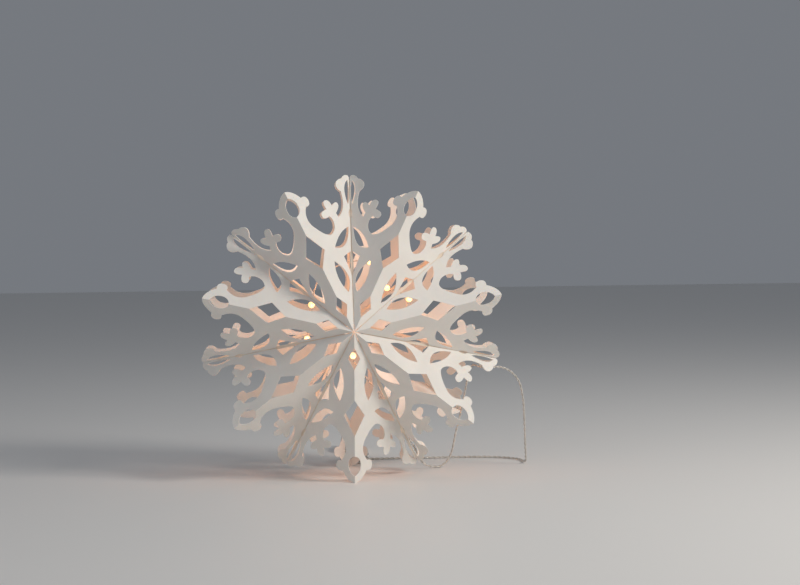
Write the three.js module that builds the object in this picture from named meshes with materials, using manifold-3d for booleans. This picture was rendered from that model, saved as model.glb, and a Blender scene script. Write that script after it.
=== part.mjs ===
// Paper snowflake star: a pleated seven-armed star of cut white card around a small
// string of warm lights, with the thin lead and plug that feed it.
// Millimetres, +Z up. The star stands on the table plane z = 0 and faces -Y.
import * as THREE from "three";
import { mergeVertices } from "three/addons/utils/BufferGeometryUtils.js";
import Module from "manifold-3d";

const wasm = await Module();
wasm.setup();

// Driving dimensions of the folded star.
const UNITS = 7; // sheets round the star
const STEP = (2 * Math.PI) / UNITS;
const RIDGE_R = 122; // tips of the ridge folds, from the axis
const SEAM_R = 125.4; // tips of the valley seams, from the axis
const RIDGE_Y = 46; // half the distance between a front and a rear ridge tip
const APEX_Y = 66; // half the distance between the front and the rear centre
const FOOT_TRIM = 0.15; // taken off the ridge tips that the star stands on
const AXIS_Z = RIDGE_R - FOOT_TRIM;
const CARD = 0.4; // card thickness
const RIDGE_GAP = 0.42; // clearance of a leaf from a ridge fold line
const SEAM_GAP = 0.65; // clearance of a leaf from a valley seam line
const CENTRE_CUT = 6; // the leaves stop this far from the centre
const CURVE_STEPS = 2; // steps per curve of a leaf's outline

// Light string.
const BULB_R = 2.5;
const HOLDER_R = 2.9;
const HOLDER_LENGTH = 8;
const WIRE_R = 0.8;
const BULB_Y = 6;
const LIGHT_GAP = 0.3;

// Lead, coil and plug.
const LEAD_R = 1;
const TUBE_SIDES = 8;
const COIL_CENTRE = [4, 66];
const COIL_IN = 6.7;
const COIL_OUT = 13.4;
const COIL_HEIGHT = 10.4;
const TAIL_Z = COIL_HEIGHT + 1.4; // the lead's end crosses over the coil
const PLUG_X = 5;
const PLUG_Z = 7;
const RELIEF_START = 99;
const RELIEF_LENGTH = 20;
const PLUG_LENGTH = 28;
const PLUG_WIDTH = 20;
const PLUG_HEIGHT = 13;
const PIN_LENGTH = 19;
const PIN_R = 2;
const PIN_SPACING = 12;

const card = () => new THREE.MeshStandardMaterial({ color: 0xf3f0ea, roughness: 0.85, metalness: 0 });
const plastic = (color, roughness) =>
  new THREE.MeshStandardMaterial({ color, roughness, metalness: 0 });

// One leaf lies flat in its own sheet: x runs along the ridge fold from the centre, and y
// runs across the leaf towards the valley seam.
const SEAM_LENGTH = Math.hypot(SEAM_R, APEX_Y);
const RIDGE_LENGTH = Math.hypot(RIDGE_R, APEX_Y - RIDGE_Y);
const COS_SHEET =
  (RIDGE_R * SEAM_R * Math.cos(STEP / 2) + (APEX_Y - RIDGE_Y) * APEX_Y) /
  (RIDGE_LENGTH * SEAM_LENGTH);
const SHEET_ANGLE = Math.acos(COS_SHEET);

// A point on the seam's side of the leaf: its distance from the centre and its depth into the card.
function atSeam(distance, depth) {
  const c = Math.cos(SHEET_ANGLE);
  const s = Math.sin(SHEET_ANGLE);
  return [distance * c + depth * s, distance * s - depth * c];
}

function leafShape() {
  const leaf = new THREE.Shape();
  const line = (x, y) => leaf.lineTo(x, y);
  const bow = (cx, cy, x, y) => leaf.quadraticCurveTo(cx, cy, x, y);
  // Ridge side, from the centre out: a small and a large diamond, then the ring's eye.
  leaf.moveTo(CENTRE_CUT, RIDGE_GAP);
  line(12.8, RIDGE_GAP);
  line(22.5, 6.2);
  line(30.8, RIDGE_GAP);
  line(55.5, RIDGE_GAP);
  line(69.6, 10.9);
  line(85, RIDGE_GAP);
  line(101.6, RIDGE_GAP);
  bow(104, 6.4, 109.5, 6.4);
  bow(116, 6.4, 118, RIDGE_GAP);
  line(RIDGE_LENGTH, RIDGE_GAP);
  // Outside of the ring and its bump, then the neck.
  line(RIDGE_LENGTH + 0.1, 2.6);
  bow(121, 9.4, 115.4, 12.6);
  bow(117, 18.2, 112, 18.8);
  bow(106.6, 18.6, 107.3, 13.4);
  bow(97, 4.6, 88, 12.6);
  // The bay between the two arms, and the stem of the three-lobed sprig.
  bow(77, 21, 80, 26.5);
  bow(83.2, 32.6, 89.5, 33);
  line(94, 31.6);
  bow(91.6, 24.2, 96.6, 24.2);
  bow(99.6, 25, 100.2, 31.9);
  bow(107.8, 30.4, 107.5, 35);
  bow(107.3, 38.8, 101.6, 38.8);
  bow(105.4, 45.8, 101, 45.6);
  bow(98.4, 45.2, 94.8, 39.4);
  line(91, 39.9);
  // The seam arm: its neck, its bump and the rounded half ring.
  bow(95.5, 51.6, 110.6, 54.6);
  bow(115.6, 50.4, 119.2, 54.6);
  bow(121.6, 58.4, 120.6, 61.4);
  bow(123.6, 66, 121.6, 69.6);
  // Seam side, from the tip in: a short slit and the half of a diamond.
  line(...atSeam(SEAM_LENGTH - 3.2, SEAM_GAP));
  line(...atSeam(109.5, SEAM_GAP));
  line(...atSeam(105, SEAM_GAP + 1.3));
  line(...atSeam(100.5, SEAM_GAP));
  line(...atSeam(71, SEAM_GAP));
  bow(...atSeam(67.5, 4.5), 59.3, 26.3);
  bow(...atSeam(58, 2.2), ...atSeam(51.5, SEAM_GAP));
  line(...atSeam(CENTRE_CUT, SEAM_GAP));
  leaf.closePath();

  const hole = (start, curves) => {
    const path = new THREE.Path();
    path.moveTo(...start);
    curves.forEach((curve) => path.quadraticCurveTo(...curve));
    leaf.holes.push(path);
  };
  hole([31, 13.5], [[43, 28, 58.4, 14.9], [44, 7, 31, 13.5]]);
  hole([68.5, 21.8], [[62, 34, 81, 45], [80.5, 34, 68.5, 21.8]]);
  hole([118, 67], [[115, 58.6, 98.4, 55.4], [105, 62.4, 118, 67]]);
  return leaf;
}

const LEAF = new THREE.ExtrudeGeometry(leafShape(), {
  depth: CARD,
  bevelEnabled: false,
  curveSegments: CURVE_STEPS,
});
LEAF.translate(0, 0, -CARD / 2);

// Places the flat leaf between a ridge fold and a seam. side is -1 for the front of the
// star and 1 for its back, and turn is the way from the ridge to the seam.
function leafGeometry(ridgeAngle, turn, side) {
  const seamAngle = ridgeAngle + (turn * STEP) / 2;
  const centre = new THREE.Vector3(0, side * APEX_Y, AXIS_Z);
  const ridge = new THREE.Vector3(
    RIDGE_R * Math.cos(ridgeAngle),
    side * RIDGE_Y,
    AXIS_Z + RIDGE_R * Math.sin(ridgeAngle),
  ).sub(centre);
  const seam = new THREE.Vector3(
    SEAM_R * Math.cos(seamAngle),
    0,
    AXIS_Z + SEAM_R * Math.sin(seamAngle),
  ).sub(centre);
  const along = ridge.normalize();
  const across = seam.addScaledVector(along, -seam.dot(along)).normalize();
  const out = new THREE.Vector3().crossVectors(along, across);
  const frame = new THREE.Matrix4().makeBasis(along, across, out).setPosition(centre);
  return LEAF.clone().applyMatrix4(frame);
}

function bare(geometry) {
  const copy = geometry.clone();
  copy.deleteAttribute("normal");
  copy.deleteAttribute("uv");
  return mergeVertices(copy, 1e-4);
}

function toSolid(geometry) {
  const merged = bare(geometry);
  return new wasm.Manifold(
    new wasm.Mesh({
      numProp: 3,
      vertProperties: merged.attributes.position.array,
      triVerts: new Uint32Array(merged.index.array),
    }),
  );
}

function toGeometry(solid) {
  const mesh = solid.getMesh();
  return new THREE.BufferGeometry()
    .setAttribute("position", new THREE.BufferAttribute(mesh.vertProperties, 3))
    .setIndex(new THREE.BufferAttribute(mesh.triVerts, 1));
}

const star = new THREE.Group();

function add(name, geometry, material, place = [0, 0, 0]) {
  const mesh = new THREE.Mesh(geometry, material);
  mesh.name = name;
  mesh.position.set(...place);
  star.add(mesh);
  return mesh;
}

// Leaves: two at the front and two at the back of each unit. Unit 1 stands on the table,
// and its tips are trimmed flat where they rest.
function addLeaves() {
  const table = toSolid(new THREE.BoxGeometry(60, 140, 20).translate(0, 0, -10));
  for (let unit = 0; unit < UNITS; unit++) {
    const ridgeAngle = -Math.PI / 2 + unit * STEP;
    for (const [end, side] of [["front", -1], ["rear", 1]]) {
      for (const [hand, turn] of [["a", 1], ["b", -1]]) {
        const geometry = leafGeometry(ridgeAngle, turn, side);
        const stands = unit === 0;
        const leaf = stands ? toGeometry(toSolid(geometry).subtract(table)) : geometry;
        add(`unit_${unit + 1}_${end}_leaf_${hand}`, leaf, card());
      }
    }
  }
}

// Lights: a rounded clear bulb in a short holder, with the wire passing behind.
const BULBS = [
  [-36, 112],
  [-32.1, 140.1],
  [-22, 165],
  [16.6, 175],
  [30.4, 153.4],
  [48.6, 144],
  [30, 112],
  [1.6, 97.4],
];

function tube(points, radius, steps) {
  const knots = points.map((p) => new THREE.Vector3(...p));
  const route = new THREE.CatmullRomCurve3(knots, false, "centripetal");
  const section = new THREE.Shape();
  for (let i = 0; i < TUBE_SIDES; i++) {
    const a = (2 * Math.PI * i) / TUBE_SIDES;
    const at = [radius * Math.cos(a), radius * Math.sin(a)];
    if (i) section.lineTo(...at);
    else section.moveTo(...at);
  }
  section.closePath();
  return new THREE.ExtrudeGeometry(section, { steps, bevelEnabled: false, extrudePath: route });
}

function addLights() {
  const tip = 5.5;
  const profile = [
    [0, -tip],
    [1.3, -5],
    [2.2, -3.6],
    [BULB_R, -1.6],
    [BULB_R, 2.6],
    [0, 2.6],
  ].map(([r, y]) => new THREE.Vector2(r, y));
  const bulb = new THREE.LatheGeometry(profile, 10);
  const holder = new THREE.CylinderGeometry(HOLDER_R, HOLDER_R - 0.5, HOLDER_LENGTH, 10);
  const holderY = BULB_Y + 2.6 + LIGHT_GAP + HOLDER_LENGTH / 2;
  BULBS.forEach(([x, z], i) => {
    add(`bulb_${i + 1}`, bulb, plastic(0xffd9a0, 0.2), [x, BULB_Y, z]);
    add(`bulb_holder_${i + 1}`, holder, plastic(0xe8e4d8, 0.5), [x, holderY, z]);
  });
  const wireY = holderY + HOLDER_LENGTH / 2 + 2 * LIGHT_GAP + WIRE_R;
  const route = [
    ...BULBS.map(([x, z]) => [x, wireY, z]),
    [10, 14, 82],
    [24, 9, 64],
    [37, 6.5, 46],
    [45.5, 6, 32],
    LIGHT_WIRE_END,
  ];
  add("light_wire", tube(route, WIRE_R, 70), plastic(0xd9d4c4, 0.4));
}

// The lead comes out through the eye of a rear half ring, crosses the table, hangs over a
// sprig at the back of the star, drops to the table again and ends in the coil behind it.
const LIGHT_WIRE_END = [49.4, 7.2, 24.3];
const LEAD_ROUTE = [
  [50.5, 9.4, 22.6],
  [52.6, 13.5, 19],
  [56.5, 18, 10.5],
  [61, 20.9, 4.4],
  [65.5, 22.2, 2],
  [70.5, 23.2, 1.25],
  [76, 24.1, 1.9],
  [83, 25.4, 8.6],
  [88.8, 26.5, 30],
  [94.5, 27, 52],
  [98, 26, 70],
  [100.2, 22.5, 82],
  [102.5, 15, 87.6],
  [108, 6.5, 86.6],
  [116, 2.5, 86.8],
  [125.5, 4.5, 86],
  [134.5, 9, 81],
  [141, 13, 73],
  [144.8, 17, 58],
  [146.6, 22, 38],
  [148.2, 29, 16],
  [149.4, 35, 5.4],
  [149.8, 40.5, 2.3],
  [149.4, 47, 1.3],
  [146, 60, 1.2],
  [131, 72.6, 1.1],
  [108, 77.6, 1.1],
  [80, 78.2, 1.1],
  [46, 78.1, 1.1],
  [13, 78.05, 1.05],
];

function addLead() {
  add("lead", tube(LEAD_ROUTE, LEAD_R, 96), plastic(0xcfcabd, 0.3));
  const ring = [
    [COIL_IN, 0],
    [COIL_OUT, 0],
    [COIL_OUT, COIL_HEIGHT],
    [COIL_IN, COIL_HEIGHT],
    [COIL_IN, 0],
  ].map(([r, y]) => new THREE.Vector2(r, y));
  const coil = new THREE.LatheGeometry(ring, 24).rotateX(Math.PI / 2);
  add("lead_coil", coil, plastic(0xcfcabd, 0.3), [...COIL_CENTRE, 0]);
  const tail = [
    [11.95, 69, TAIL_Z],
    [11.75, 76, TAIL_Z],
    [10.3, 83, TAIL_Z - 0.6],
    [7.4, 90.5, PLUG_Z + 1.6],
    [5.6, 95.5, PLUG_Z + 0.2],
    [PLUG_X, RELIEF_START - LIGHT_GAP, PLUG_Z],
  ];
  add("lead_tail", tube(tail, LEAD_R, 12), plastic(0xcfcabd, 0.3));
}

function addPlug() {
  const relief = new THREE.CylinderGeometry(3.6, 1.9, RELIEF_LENGTH, 12);
  add("plug_strain_relief", relief, plastic(0xf0efea, 0.45), [
    PLUG_X,
    RELIEF_START + RELIEF_LENGTH / 2,
    PLUG_Z,
  ]);
  const w = PLUG_WIDTH / 2;
  const h = PLUG_HEIGHT / 2;
  const c = 3;
  const outline = new THREE.Shape([
    [-w + c, -h],
    [w - c, -h],
    [w, -h + c],
    [w, h - c],
    [w - c, h],
    [-w + c, h],
    [-w, h - c],
    [-w, -h + c],
  ].map(([x, y]) => new THREE.Vector2(x, y)));
  const body = new THREE.ExtrudeGeometry(outline, { depth: PLUG_LENGTH, bevelEnabled: false });
  body.rotateX(Math.PI / 2).translate(0, PLUG_LENGTH, 0);
  const bodyStart = RELIEF_START + RELIEF_LENGTH + LIGHT_GAP;
  add("plug_body", body, plastic(0xf0efea, 0.45), [PLUG_X, bodyStart, PLUG_Z]);
  for (const [name, side] of [["left", -1], ["right", 1]]) {
    const pin = new THREE.CylinderGeometry(PIN_R, PIN_R, PIN_LENGTH, 10);
    add(`plug_pin_${name}`, pin, new THREE.MeshStandardMaterial({
      color: 0xc9c9c4,
      roughness: 0.25,
      metalness: 1,
    }), [
      PLUG_X + (side * PIN_SPACING) / 2,
      bodyStart + PLUG_LENGTH + LIGHT_GAP + PIN_LENGTH / 2,
      PLUG_Z,
    ]);
  }
}

addLeaves();
addLights();
addLead();
addPlug();

export default star;
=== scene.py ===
"""Paper snowflake star: folded white card round a warm light string, with its lead and plug.

Lengths are written in millimetres and multiplied by MM, because the frame is in metres.
"""

import math
import random

import bmesh
import bpy
from mathutils import Matrix, Vector


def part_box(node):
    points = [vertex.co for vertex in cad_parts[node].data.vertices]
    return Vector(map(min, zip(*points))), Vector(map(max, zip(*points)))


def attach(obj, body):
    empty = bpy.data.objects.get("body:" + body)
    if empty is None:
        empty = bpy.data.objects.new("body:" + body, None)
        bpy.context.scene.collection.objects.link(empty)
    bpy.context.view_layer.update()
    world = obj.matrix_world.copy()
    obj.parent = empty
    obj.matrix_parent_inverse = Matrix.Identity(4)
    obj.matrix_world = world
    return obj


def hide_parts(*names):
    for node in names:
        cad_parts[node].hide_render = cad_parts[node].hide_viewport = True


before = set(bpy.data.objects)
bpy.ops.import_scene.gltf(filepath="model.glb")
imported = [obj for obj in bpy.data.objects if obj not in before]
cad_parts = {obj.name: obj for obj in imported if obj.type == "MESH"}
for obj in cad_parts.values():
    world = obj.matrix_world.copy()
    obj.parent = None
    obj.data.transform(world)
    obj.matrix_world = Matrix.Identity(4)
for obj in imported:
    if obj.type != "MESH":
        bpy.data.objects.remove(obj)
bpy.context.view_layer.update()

MM = 0.001
BODY = "root"

# The folded star, as in the part.
UNITS = 7
STEP = 2 * math.pi / UNITS
RIDGE_R, RIDGE_Y = 122.0, 46.0
SEAM_R, APEX_Y = 125.4, 66.0
AXIS_Z = 121.85
CARD = 0.38
SEAM_GAP = 0.45
CENTRE_CUT = 1.2
CURVE_STEPS = 9

# The lead.
LEAD_R = 1.0
CORE_R = 0.52
CORE_PITCH = 9.0
CORE_SIDES = 8
PATH_SPACING = 1.2
COIL_CENTRE = (4.0, 66.0)
COIL_OUTER, COIL_PITCH = 12.05, 2.05
COIL_LAYER_TURNS = 2
LEAD_ROUTE = [
    (50.5, 9.4, 22.6), (52.6, 13.5, 19), (56.5, 18, 10.5), (61, 20.9, 4.4), (65.5, 22.2, 2),
    (70.5, 23.2, 1.25), (76, 24.1, 1.9), (83, 25.4, 8.6), (88.8, 26.5, 30), (94.5, 27, 52),
    (98, 26, 70), (100.2, 22.5, 82), (102.5, 15, 87.6), (108, 6.5, 86.6), (116, 2.5, 86.8),
    (125.5, 4.5, 86), (134.5, 9, 81), (141, 13, 73), (144.8, 17, 58), (146.6, 22, 38),
    (148.2, 29, 16), (149.4, 35, 5.4), (149.8, 40.5, 2.3), (149.4, 47, 1.3), (146, 60, 1.2),
    (131, 72.6, 1.1), (108, 77.6, 1.1), (80, 78.2, 1.1), (46, 78.1, 1.1), (13, 78.05, 1.05),
]
TAIL_ROUTE = [
    (11.95, 69, 11.8), (11.75, 76, 11.8), (10.3, 83, 11.2), (7.4, 90.5, 8.6), (5.6, 95.5, 7.2),
    (5, 98.7, 7), (5, 105, 7), (5, 115, 7),
]

# The wire between the lamps, and its way out of the star.
LAMPS = 8
WIRE_R = 0.8
WIRE_CORE_R, WIRE_CORE_OFFSET, WIRE_PITCH = 0.4, 0.38, 7.0
WIRE_END = [(10, 14, 82), (24, 9, 64), (37, 6.5, 46), (45.5, 6, 32), (49.4, 7.2, 24.3)]


# ---------------------------------------------------------------- camera

CAMERA_YAW, CAMERA_PITCH, CAMERA_ROLL = math.radians(3.99), math.radians(2.30), math.radians(-0.61)
CAMERA_OFFSET = Vector((-0.0404, 1.3168, -0.0283))
LENS, SENSOR = 72.0, 36.0


def make_camera():
    turn = (
        Matrix.Rotation(CAMERA_PITCH, 3, "X")
        @ Matrix.Rotation(CAMERA_YAW, 3, "Z")
        @ Matrix.Rotation(CAMERA_ROLL, 3, "Y")
    )
    back = turn.transposed()
    right, ahead, up = back.col
    place = back @ -CAMERA_OFFSET + Vector((0, 0, AXIS_Z * MM))
    data = bpy.data.cameras.new("camera")
    data.lens, data.sensor_width, data.sensor_fit = LENS, SENSOR, "HORIZONTAL"
    camera = bpy.data.objects.new("camera", data)
    bpy.context.scene.collection.objects.link(camera)
    axes = Matrix((right, up, -ahead)).transposed().to_4x4()
    camera.matrix_world = Matrix.Translation(place) @ axes
    bpy.context.scene.camera = camera


# ---------------------------------------------------------------- materials


def new_material(name, color, roughness, metallic=0.0):
    material = bpy.data.materials.new(name)
    material.use_nodes = True
    shader = material.node_tree.nodes["Principled BSDF"]
    shader.inputs["Base Color"].default_value = (*color, 1)
    shader.inputs["Roughness"].default_value = roughness
    shader.inputs["Metallic"].default_value = metallic
    return material, shader, material.node_tree


def noise(tree, scale, detail=4.0, stretch=None):
    coords = tree.nodes.new("ShaderNodeTexCoord")
    node = tree.nodes.new("ShaderNodeTexNoise")
    node.inputs["Scale"].default_value = scale
    node.inputs["Detail"].default_value = detail
    source = coords.outputs["Object"]
    if stretch:
        mapping = tree.nodes.new("ShaderNodeMapping")
        mapping.inputs["Scale"].default_value = stretch
        tree.links.new(source, mapping.inputs["Vector"])
        source = mapping.outputs["Vector"]
    tree.links.new(source, node.inputs["Vector"])
    return node.outputs["Fac"]


def ramp(tree, value, stops):
    node = tree.nodes.new("ShaderNodeValToRGB")
    elements = node.color_ramp.elements
    elements[0].position, elements[1].position = stops[0][0], stops[-1][0]
    elements[0].color, elements[1].color = (*stops[0][1], 1), (*stops[-1][1], 1)
    for position, color in stops[1:-1]:
        elements.new(position).color = (*color, 1)
    tree.links.new(value, node.inputs["Fac"])
    return node.outputs["Color"]


def bump(tree, shader, height, strength, distance):
    node = tree.nodes.new("ShaderNodeBump")
    node.inputs["Strength"].default_value = strength
    node.inputs["Distance"].default_value = distance
    tree.links.new(height, node.inputs["Height"])
    tree.links.new(node.outputs["Normal"], shader.inputs["Normal"])


def card_material():
    """White uncoated card: a faint cloudy tone, fine fibres and a little light passing through."""
    material, shader, tree = new_material("white_card", (0.86, 0.845, 0.82), 0.82)
    cloud = ramp(tree, noise(tree, 45, 6), [(0.3, (0.77, 0.74, 0.69)), (0.7, (0.83, 0.80, 0.75))])
    tree.links.new(cloud, shader.inputs["Base Color"])
    fibre = noise(tree, 900, 3, (1.0, 1.0, 0.35))
    bump(tree, shader, fibre, 0.35, 0.00012)
    tree.links.new(
        ramp(tree, noise(tree, 700, 2), [(0.2, (0.74,) * 3), (0.8, (0.92,) * 3)]),
        shader.inputs["Roughness"],
    )
    shader.inputs["Specular IOR Level"].default_value = 0.3
    shader.inputs["Sheen Weight"].default_value = 0.12
    shader.inputs["Subsurface Weight"].default_value = 0.12
    shader.inputs["Subsurface Scale"].default_value = 0.0006
    shader.inputs["Subsurface Radius"].default_value = (1.0, 0.7, 0.45)
    return material


def seam_shade_and_glow_material():
    """The same white card where it is doubled inside a seam; its brown-orange colour is painted
    shade of the seam gap, warmed by painted glow from the lamps behind it.
    """
    # Base colour: painted seam shade and painted lamp glow, not the card's own colour.
    material, shader, tree = new_material("seam_shade_and_glow", (0.80, 0.70, 0.58), 0.8)
    # Painted shade and glow, varied at random along the strip.
    tone = ramp(tree, noise(tree, 60, 5), [(0.3, (0.76, 0.65, 0.52)), (0.7, (0.86, 0.77, 0.66))])
    tree.links.new(tone, shader.inputs["Base Color"])
    bump(tree, shader, noise(tree, 900, 3), 0.3, 0.0001)
    return material


def bulb_material():
    material, shader, tree = new_material("warm_bulb", (1.0, 0.74, 0.4), 0.12)
    glow = ramp(tree, noise(tree, 220, 2), [(0.3, (1.0, 0.42, 0.10)), (0.7, (1.0, 0.66, 0.28))])
    tree.links.new(glow, shader.inputs["Emission Color"])
    shader.inputs["Emission Strength"].default_value = 2.6
    shader.inputs["Coat Weight"].default_value = 0.6
    return material


def moulded_material(name, color, roughness, grain):
    material, shader, tree = new_material(name, color, roughness)
    darker = tuple(0.93 * c for c in color)
    tree.links.new(
        ramp(tree, noise(tree, 120, 4), [(0.3, darker), (0.7, color)]), shader.inputs["Base Color"]
    )
    bump(tree, shader, noise(tree, grain, 2), 0.25, 0.00008)
    return material


def lead_material():
    """Clear PVC over tinned cores: warm grey, glossy and slightly see-through."""
    material, shader, tree = new_material("clear_lead", (0.74, 0.71, 0.65), 0.22)
    tone = ramp(tree, noise(tree, 300, 3), [(0.3, (0.64, 0.60, 0.54)), (0.7, (0.82, 0.79, 0.73))])
    tree.links.new(tone, shader.inputs["Base Color"])
    bump(tree, shader, noise(tree, 1200, 2), 0.15, 0.00005)
    shader.inputs["Coat Weight"].default_value = 0.5
    shader.inputs["Transmission Weight"].default_value = 0.25
    return material


def pin_material():
    material, shader, tree = new_material("plug_pin", (0.74, 0.74, 0.71), 0.22, 1.0)
    scratch = noise(tree, 500, 3, (1.0, 0.05, 1.0))
    tree.links.new(
        ramp(tree, scratch, [(0.3, (0.16,) * 3), (0.7, (0.34,) * 3)]), shader.inputs["Roughness"]
    )
    bump(tree, shader, scratch, 0.2, 0.00004)
    return material


MATERIALS = {
    "white_card": card_material(),
    "seam_shade_and_glow": seam_shade_and_glow_material(),
    "warm_bulb": bulb_material(),
    "bulb_holder": moulded_material("bulb_holder", (0.80, 0.76, 0.66), 0.45, 900),
    "clear_lead": lead_material(),
    "plug_shell": moulded_material("plug_shell", (0.82, 0.81, 0.77), 0.48, 1400),
    "plug_pin": pin_material(),
}


# ---------------------------------------------------------------- pieces


def add_piece(name, mesh, slot, replaced=(), material=None):
    piece = bpy.data.objects.new(name, mesh)
    bpy.context.scene.collection.objects.link(piece)
    mesh.materials.clear()
    mesh.materials.append(MATERIALS[material or slot])
    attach(piece, BODY)
    if replaced:
        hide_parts(*replaced)
    return piece


def mesh_of(name, points, faces, smooth=False):
    mesh = bpy.data.meshes.new(name)
    mesh.from_pydata([tuple(p) for p in points], [], faces)
    bm = bmesh.new()
    bm.from_mesh(mesh)
    bmesh.ops.recalc_face_normals(bm, faces=bm.faces)
    for face in bm.faces:
        face.smooth = smooth
    bm.to_mesh(mesh)
    bm.free()
    return mesh


# ---------------------------------------------------------------- leaves

RIDGE_LENGTH = math.hypot(RIDGE_R, APEX_Y - RIDGE_Y)
SEAM_LENGTH = math.hypot(SEAM_R, APEX_Y)
SHEET_ANGLE = math.acos(
    (RIDGE_R * SEAM_R * math.cos(STEP / 2) + (APEX_Y - RIDGE_Y) * APEX_Y)
    / (RIDGE_LENGTH * SEAM_LENGTH)
)


def at_seam(distance, depth):
    c, s = math.cos(SHEET_ANGLE), math.sin(SHEET_ANGLE)
    return (distance * c + depth * s, distance * s - depth * c)


def bow(start, control, end):
    """A quadratic curve's points after its start."""
    points = []
    for i in range(1, CURVE_STEPS + 1):
        t = i / CURVE_STEPS
        points.append(
            tuple(
                (1 - t) ** 2 * a + 2 * t * (1 - t) * b + t * t * c
                for a, b, c in zip(start, control, end)
            )
        )
    return points


def outline(start, moves):
    """A closed outline: a move is an end point, or a control point and an end point."""
    points = [start]
    for move in moves:
        if isinstance(move[0], tuple):
            points += bow(points[-1], *move)
        else:
            points.append(move)
    return points


def leaf_outlines():
    """The leaf in its own sheet: x along the ridge fold from the centre, y towards the seam."""
    ridge_side = [
        (12.8, 0), (22.5, 6.2), (30.8, 0), (55.5, 0), (69.6, 10.9), (85, 0), (101.6, 0),
        ((103.6, 6.4), (109.5, 6.4)), ((116, 6.4), (118, 0)), (RIDGE_LENGTH, 0),
    ]
    ring = [
        ((123.4, 4.6), (120.4, 8.2)), ((118, 11), (115.4, 12.6)), ((117, 18.2), (112, 18.8)),
        ((106.6, 18.6), (107.3, 13.4)), ((97, 4.6), (88, 12.6)),
    ]
    bay_and_sprig = [
        ((77, 21), (80, 26.5)), ((83.2, 32.6), (89.5, 33)), ((92.6, 33), (94, 31.2)),
        ((91.6, 24.2), (96.6, 24.2)), ((99.8, 25), (100.2, 31.9)),
        ((107.8, 30.4), (107.5, 35)), ((107.3, 38.8), (101.6, 38.8)),
        ((105.4, 45.8), (101, 45.6)), ((98.4, 45.2), (94.8, 39.4)), (91, 39.9),
    ]
    seam_arm = [
        ((95.5, 51.6), (110.6, 54.6)), ((115.6, 50.4), (119.2, 54.6)),
        ((121.6, 58.4), (120.6, 61.4)), ((124, 66), (121.6, 69.6)),
    ]
    seam_side = [
        at_seam(SEAM_LENGTH - 3.2, SEAM_GAP), at_seam(109.5, SEAM_GAP),
        (at_seam(105, SEAM_GAP + 2.4), at_seam(100.5, SEAM_GAP)), at_seam(71, SEAM_GAP),
        (at_seam(67.5, 4.5), (59.3, 26.3)),
        (at_seam(56, 2.8), at_seam(48.5, SEAM_GAP)), at_seam(CENTRE_CUT, SEAM_GAP),
    ]
    leaf = outline((CENTRE_CUT, 0), ridge_side + ring + bay_and_sprig + seam_arm + seam_side)
    holes = [
        outline((31, 13.5), [((43, 28), (58.4, 14.9)), ((44, 7), (31, 13.5))]),
        outline((68.5, 21.8), [((62, 34), (81, 45)), ((80.5, 34), (68.5, 21.8))]),
        outline((118.2, 67), [((115, 57.6), (98.4, 55.4)), ((105, 62.4), (118.2, 67))]),
    ]
    return [leaf] + [hole[:-1] for hole in holes]


def filled_leaf():
    """Points and faces of the flat leaf, filled between its outline and its holes."""
    curve = bpy.data.curves.new("leaf_curve", "CURVE")
    curve.dimensions, curve.fill_mode = "2D", "BOTH"
    for loop in leaf_outlines():
        spline = curve.splines.new("POLY")
        spline.points.add(len(loop) - 1)
        for point, (x, y) in zip(spline.points, loop):
            point.co = (x * MM, y * MM, 0, 1)
        spline.use_cyclic_u = True
    holder = bpy.data.objects.new("leaf_holder", curve)
    bpy.context.scene.collection.objects.link(holder)
    graph = bpy.context.evaluated_depsgraph_get()
    flat = bpy.data.meshes.new_from_object(holder.evaluated_get(graph))
    points = [v.co.copy() for v in flat.vertices]
    faces = [tuple(p.vertices) for p in flat.polygons]
    bpy.data.objects.remove(holder)
    bpy.data.curves.remove(curve)
    bpy.data.meshes.remove(flat)
    return points, faces


def fold_point(angle, radius, y):
    return Vector((radius * math.cos(angle), y, AXIS_Z + radius * math.sin(angle))) * MM


def leaf_frame(ridge_angle, turn, side):
    """The leaf's centre, its two in-sheet directions and its outward direction."""
    centre = Vector((0, side * APEX_Y, AXIS_Z)) * MM
    along = (fold_point(ridge_angle, RIDGE_R, side * RIDGE_Y) - centre).normalized()
    seam = fold_point(ridge_angle + turn * STEP / 2, SEAM_R, 0) - centre
    across = (seam - along * seam.dot(along)).normalized()
    out = along.cross(across)
    return centre, along, across, out if out.y * side > 0 else -out


def make_sheets():
    """One folded sheet of card for each end of each unit: two leaves joined along their ridge."""
    flat, faces = filled_leaf()
    rng = random.Random(7)
    for unit in range(UNITS):
        ridge_angle = -math.pi / 2 + unit * STEP
        for end, side in (("front", -1), ("rear", 1)):
            points, all_faces, nodes = [], [], []
            for hand, turn in (("a", 1), ("b", -1)):
                centre, along, across, out = leaf_frame(ridge_angle, turn, side)
                lift, phase = rng.uniform(-0.5, 0.9), rng.uniform(0, 6.28)
                first = len(points)
                for p in flat:
                    reach = max(0.0, p.length / MM - 70) / 70
                    off_ridge = min(1.0, p.y / MM / 20)
                    wave = 0.25 * math.sin(p.x / MM / 19 + phase) * off_ridge
                    height = (lift * reach * reach * off_ridge + wave) * MM
                    points.append(centre + along * p.x + across * p.y + out * height)
                all_faces += [tuple(first + i for i in face) for face in faces]
                nodes.append(f"unit_{unit + 1}_{end}_leaf_{hand}")
            name = f"unit_{unit + 1}_{end}_sheet"
            mesh = mesh_of(name, points, all_faces)
            bm = bmesh.new()
            bm.from_mesh(mesh)
            bmesh.ops.remove_doubles(bm, verts=bm.verts, dist=0.03 * MM)
            bmesh.ops.recalc_face_normals(bm, faces=bm.faces)
            bm.to_mesh(mesh)
            bm.free()
            sheet = add_piece(name, mesh, "white_card", nodes)
            thick = sheet.modifiers.new("card", "SOLIDIFY")
            thick.thickness, thick.offset = CARD * MM, 0


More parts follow.
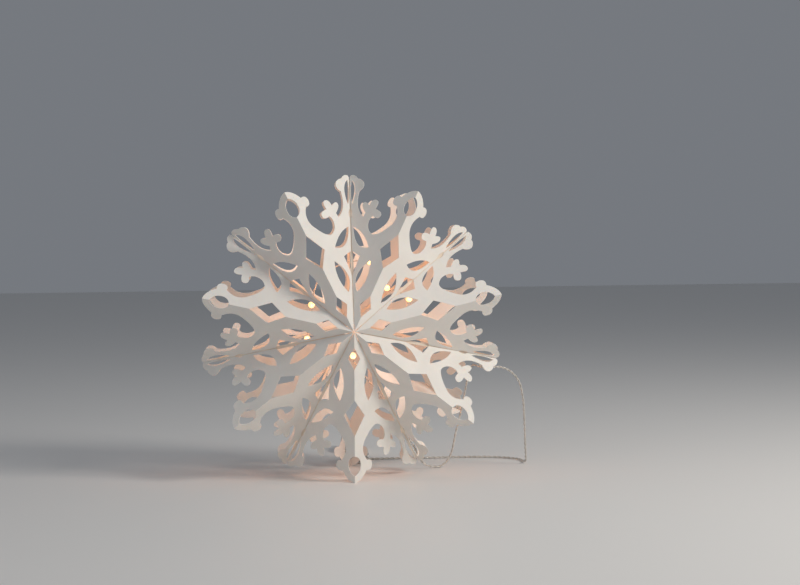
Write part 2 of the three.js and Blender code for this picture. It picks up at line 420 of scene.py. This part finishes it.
def make_seam_flaps():
    """The narrow glued strips inside the valley seams, seen across the diamonds; they are coloured
    with painted seam shade and painted lamp glow.
    """
    width, thick, near, start, stop = 1.25, 0.4, 0.45, 9.0, 137.0
    far = near + thick
    corners = ((-1, near), (1, near), (1, far), (-1, far))
    quads = [
        (0, 1, 2, 3), (4, 5, 6, 7), (0, 1, 5, 4), (1, 2, 6, 5), (2, 3, 7, 6), (3, 0, 4, 7),
    ]
    for end, side in (("front", -1), ("rear", 1)):
        points, faces = [], []
        for unit in range(UNITS):
            angle = -math.pi / 2 + (unit + 0.5) * STEP
            centre = Vector((0, side * APEX_Y, AXIS_Z)) * MM
            along = (fold_point(angle, SEAM_R, 0) - centre).normalized()
            across = Vector((-math.sin(angle), 0, math.cos(angle)))
            inward = along.cross(across)
            inward = inward if inward.y * side < 0 else -inward
            first = len(points)
            for reach in (start, stop):
                for across_at, depth in corners:
                    half = width if reach < 100 else width * 0.8
                    points.append(
                        centre + (along * reach + across * across_at * half + inward * depth) * MM
                    )
            faces += [tuple(first + i for i in quad) for quad in quads]
        # The strips take the seam material: painted shade and painted lamp glow.
        add_piece(f"{end}_seam_flaps", mesh_of(f"{end}_seam_flaps", points, faces), "white_card",
                  material="seam_shade_and_glow")


# ---------------------------------------------------------------- lights inside


def lathe(profile, axis_point, direction, sides=32):
    """A closed turned shape: profile is (radius, distance along direction) from pole to pole."""
    direction = Vector(direction).normalized()
    u = direction.orthogonal().normalized()
    v = direction.cross(u)
    points, faces = [], []
    rows = profile[1:-1]
    points.append(axis_point + direction * profile[0][1] * MM)
    for radius, along in rows:
        for i in range(sides):
            a = 2 * math.pi * i / sides
            points.append(
                axis_point + (direction * along + (u * math.cos(a) + v * math.sin(a)) * radius) * MM
            )
    points.append(axis_point + direction * profile[-1][1] * MM)
    last = len(points) - 1
    for i in range(sides):
        j = (i + 1) % sides
        faces.append((0, 1 + i, 1 + j))
        for row in range(len(rows) - 1):
            a, b = 1 + row * sides, 1 + (row + 1) * sides
            faces.append((a + i, b + i, b + j, a + j))
        end = 1 + (len(rows) - 1) * sides
        faces.append((end + i, last, end + j))
    return points, faces


def make_bulbs():
    for i in range(1, LAMPS + 1):
        low, high = (Vector(c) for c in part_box(f"bulb_{i}"))
        base = Vector(((low.x + high.x) / 2, high.y, (low.z + high.z) / 2))
        profile = [(0, 0), (1.9, 0), (2.35, 0.5), (2.45, 1.6), (2.45, 4.2)]
        profile += [
            (2.45 * math.cos(a), 4.2 + 3.6 * math.sin(a))
            for a in (math.pi / 2 * k / 7 for k in range(1, 7))
        ]
        profile.append((0, 7.9))
        points, faces = lathe(profile, base, (0, -1, 0))
        lamp = mesh_of(f"lamp_{i}", points, faces, True)
        add_piece(f"lamp_{i}", lamp, "warm_bulb", [f"bulb_{i}"])
        low, high = (Vector(c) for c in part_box(f"bulb_holder_{i}"))
        base = Vector(((low.x + high.x) / 2, high.y, (low.z + high.z) / 2))
        ribs = [(0, 0), (1.8, 0), (2.3, 0.4)]
        for k in range(4):
            valley, at = 2.35 + 0.1 * k, 1.6 * k
            ribs += [(valley, 0.9 + at), (2.75, 1.3 + at), (valley, 1.9 + at)]
        ribs += [(2.85, 7.2), (2.85, 7.8), (2.5, 8.0), (0, 8.0)]
        points, faces = lathe(ribs, base, (0, -1, 0))
        socket = mesh_of(f"lamp_socket_{i}", points, faces, True)
        add_piece(f"lamp_socket_{i}", socket, "bulb_holder", [f"bulb_holder_{i}"])


# ---------------------------------------------------------------- lead


def smooth_route(knots, spacing):
    """Points along a centripetal Catmull-Rom curve through the knots."""
    p = [Vector(k) for k in knots]
    p = [p[0] * 2 - p[1]] + p + [p[-1] * 2 - p[-2]]
    out = []
    for i in range(1, len(p) - 2):
        t = [0.0]
        for a, b in zip(p[i - 1 : i + 2], p[i : i + 3]):
            t.append(t[-1] + max((b - a).length, 1e-9) ** 0.5)
        steps = max(2, round((p[i + 1] - p[i]).length / spacing))
        for k in range(steps):
            at = t[1] + (t[2] - t[1]) * k / steps
            level = p[i - 1 : i + 3]
            for span in (1, 2, 3):
                nxt = []
                for j in range(len(level) - 1):
                    lo, hi = (t[1], t[2]) if span == 3 else (t[j], t[j + span])
                    w = (at - lo) / (hi - lo)
                    nxt.append(level[j] * (1 - w) + level[j + 1] * w)
                level = nxt
            out.append(level[0])
    out.append(p[-2])
    return out


def coil_points():
    """Five flat layers wound in and out by turns, ending above the inner turn."""
    points = []
    angle = math.pi / 2
    inner = COIL_OUTER - COIL_LAYER_TURNS * COIL_PITCH
    height = LEAD_R + 0.05
    per_turn = 40
    layers = [(COIL_OUTER, inner, 0.6, COIL_PITCH), (inner, COIL_OUTER, 0.6, COIL_PITCH)] * 2
    layers.append((COIL_OUTER, inner, 0.35, 2.5))
    for start, stop, climb_turns, climb in layers:
        for k in range(COIL_LAYER_TURNS * per_turn):
            share = k / (COIL_LAYER_TURNS * per_turn)
            points.append((start + (stop - start) * share, angle, height))
            angle += 2 * math.pi / per_turn
        for k in range(round(climb_turns * per_turn)):
            share = k / round(climb_turns * per_turn)
            rise = share * share * (3 - 2 * share)
            points.append((stop, angle, height + climb * rise))
            angle += 2 * math.pi / per_turn
        height += climb
    cx, cy = COIL_CENTRE
    return [Vector((cx + r * math.cos(a), cy + r * math.sin(a), z)) for r, a, z in points]


def twisted_pair(name, path, core_r, offset, pitch, sides=CORE_SIDES):
    """Two round cores twisted round a path that is given in millimetres."""
    points, faces = [], []
    side = Vector((0, 0, 1)).cross(path[1] - path[0])
    side = side if side.length > 1e-6 else Vector((1, 0, 0))
    frames, travelled = [], 0.0
    for i, at in enumerate(path):
        ahead = (path[min(i + 1, len(path) - 1)] - path[max(i - 1, 0)]).normalized()
        side = (side - ahead * side.dot(ahead)).normalized()
        if i:
            travelled += (at - path[i - 1]).length
        frames.append((at, side.copy(), ahead.cross(side), travelled))
    for core in (0, math.pi):
        first = len(points)
        for at, u, v, travelled in frames:
            twist = core + 2 * math.pi * travelled / pitch
            middle = at + (u * math.cos(twist) + v * math.sin(twist)) * offset
            for k in range(sides):
                a = 2 * math.pi * k / sides
                points.append((middle + (u * math.cos(a) + v * math.sin(a)) * core_r) * MM)
        for i in range(len(frames) - 1):
            for k in range(sides):
                j = (k + 1) % sides
                a, b = first + i * sides, first + (i + 1) * sides
                faces.append((a + k, a + j, b + j, b + k))
        faces.append(tuple(first + k for k in range(sides)))
        faces.append(tuple(first + (len(frames) - 1) * sides + k for k in range(sides)))
    return mesh_of(name, points, faces, True)


def make_light_wire():
    low, high = (Vector(c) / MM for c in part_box("light_wire"))
    wire_y = high.y - WIRE_R
    lamps = []
    for i in range(1, LAMPS + 1):
        a, b = (Vector(c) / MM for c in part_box(f"bulb_{i}"))
        lamps.append(((a.x + b.x) / 2, wire_y, (a.z + b.z) / 2))
    route = lamps + WIRE_END
    path = smooth_route(route, PATH_SPACING)
    mesh = twisted_pair("inner_wire", path, WIRE_CORE_R, WIRE_CORE_OFFSET, WIRE_PITCH)
    add_piece("inner_wire", mesh, "clear_lead", ["light_wire"])


def make_lead(plug_pieces):
    coil_start = (COIL_CENTRE[0], *LEAD_ROUTE[-1][1:])
    path = smooth_route(LEAD_ROUTE + [coil_start], PATH_SPACING)[:-1]
    path += coil_points()
    path += smooth_route(TAIL_ROUTE, PATH_SPACING)
    mesh = twisted_pair("lead", path, CORE_R, LEAD_R - CORE_R - 0.02, CORE_PITCH)
    lead = add_piece("lead_pair", mesh, "clear_lead", ["lead", "lead_coil", "lead_tail"])


def make_plug():
    """A flat moulded two-pin plug: a ribbed strain relief, a waisted body and two pins."""
    low, high = (Vector(c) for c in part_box("plug_strain_relief"))
    base = Vector(((low.x + high.x) / 2, low.y, (low.z + high.z) / 2))
    profile = [(0, 0), (1.5, 0), (1.8, 0.3)]
    for k in range(6):
        r = 1.9 + 0.28 * k
        at = 3.0 * k
        profile += [(r, 0.8 + at), (r, 2.4 + at), (r - 0.45, 2.8 + at), (r - 0.4, 3.4 + at)]
    profile += [(3.5, 19.4), (3.5, 20.0), (0, 20.0)]
    points, faces = lathe(profile, base, (0, 1, 0))
    mesh = mesh_of("strain_relief", points, faces, True)
    relief = add_piece("strain_relief", mesh, "plug_shell", ["plug_strain_relief"])
    low, high = (Vector(c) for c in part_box("plug_body"))
    centre = (low + high) / 2
    half = (high - low) / 2
    rows = [(-1.0, 0.62, 0.62), (-0.9, 0.78, 0.86), (-0.55, 0.90, 0.95), (0.0, 0.86, 0.93),
            (0.55, 0.94, 0.97), (0.9, 1.0, 1.0), (1.0, 0.96, 0.95)]
    points, faces, sides, power = [], [], 32, 2 / 5
    for along, wide, tall in rows:
        for k in range(sides):
            a = 2 * math.pi * k / sides
            c, s = math.cos(a), math.sin(a)
            x = math.copysign(abs(c) ** power, c) * half.x * wide
            z = math.copysign(abs(s) ** power, s) * half.z * tall
            points.append(centre + Vector((x, along * half.y, z)))
    for row in range(len(rows) - 1):
        for k in range(sides):
            j = (k + 1) % sides
            a, b = row * sides, (row + 1) * sides
            faces.append((a + k, a + j, b + j, b + k))
    faces.append(tuple(range(sides)))
    faces.append(tuple((len(rows) - 1) * sides + k for k in range(sides)))
    mesh = mesh_of("plug_shell", points, faces, True)
    body = add_piece("plug_shell", mesh, "plug_shell", ["plug_body"])
    pins = []
    for hand in ("left", "right"):
        low, high = (Vector(c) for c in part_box(f"plug_pin_{hand}"))
        base = Vector(((low.x + high.x) / 2, low.y, (low.z + high.z) / 2))
        profile = [(0, 0), (1.9, 0), (1.9, 16.6)]
        profile += [(1.9 * math.cos(a), 17.0 + 1.9 * math.sin(a)) for a in (0.0, 0.5, 0.9, 1.3)]
        profile.append((0, 18.95))
        points, faces = lathe(profile, base, (0, 1, 0))
        mesh = mesh_of(f"pin_{hand}", points, faces, True)
        pins.append(add_piece(f"pin_{hand}", mesh, "plug_pin", [f"plug_pin_{hand}"]))
    return [relief, body, *pins]


# ---------------------------------------------------------------- studio


def area_light(name, place, target, size, power, color):
    data = bpy.data.lights.new(name, "AREA")
    data.size, data.energy, data.color = size, power, color
    light = bpy.data.objects.new(name, data)
    light.location = place
    light.rotation_euler = (Vector(target) - Vector(place)).to_track_quat("-Z", "Y").to_euler()
    bpy.context.scene.collection.objects.link(light)


def make_studio():
    mesh = mesh_of("floor", [(-4, -4, 0), (4, -4, 0), (4, 4, 0), (-4, 4, 0)], [(0, 1, 2, 3)])
    floor = bpy.data.objects.new("floor", mesh)
    bpy.context.scene.collection.objects.link(floor)
    material, _, _ = new_material("pale_floor", (0.76, 0.75, 0.73), 0.5)
    mesh.materials.append(material)
    world = bpy.data.worlds.new("studio")
    world.use_nodes = True
    world.node_tree.nodes["Background"].inputs["Color"].default_value = (0.225, 0.24, 0.265, 1)
    world.node_tree.nodes["Background"].inputs["Strength"].default_value = 0.8
    bpy.context.scene.world = world
    bpy.context.scene.view_settings.view_transform = "Standard"
    middle = (0, 0, 0.12)
    area_light("key", (1.05, -0.62, 0.85), middle, 0.4, 12.5, (1.0, 0.95, 0.885))
    area_light("top", (0.1, -0.2, 1.3), middle, 0.8, 1.6, (0.95, 0.97, 1.0))
    area_light("fill", (-1.1, -1.0, 0.5), middle, 1.2, 2.8, (0.97, 0.975, 1.0))
    for i in range(1, LAMPS + 1):
        low, high = (Vector(c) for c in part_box(f"bulb_{i}"))
        data = bpy.data.lights.new(f"glow_{i}", "POINT")
        data.energy, data.color, data.shadow_soft_size = 0.011, (1.0, 0.34, 0.11), 0.003
        light = bpy.data.objects.new(f"glow_{i}", data)
        light.location = ((low.x + high.x) / 2, low.y - 0.006, (low.z + high.z) / 2)
        bpy.context.scene.collection.objects.link(light)


make_camera()
make_lead(make_plug())
make_light_wire()
make_sheets()
make_seam_flaps()
make_bulbs()
make_studio()
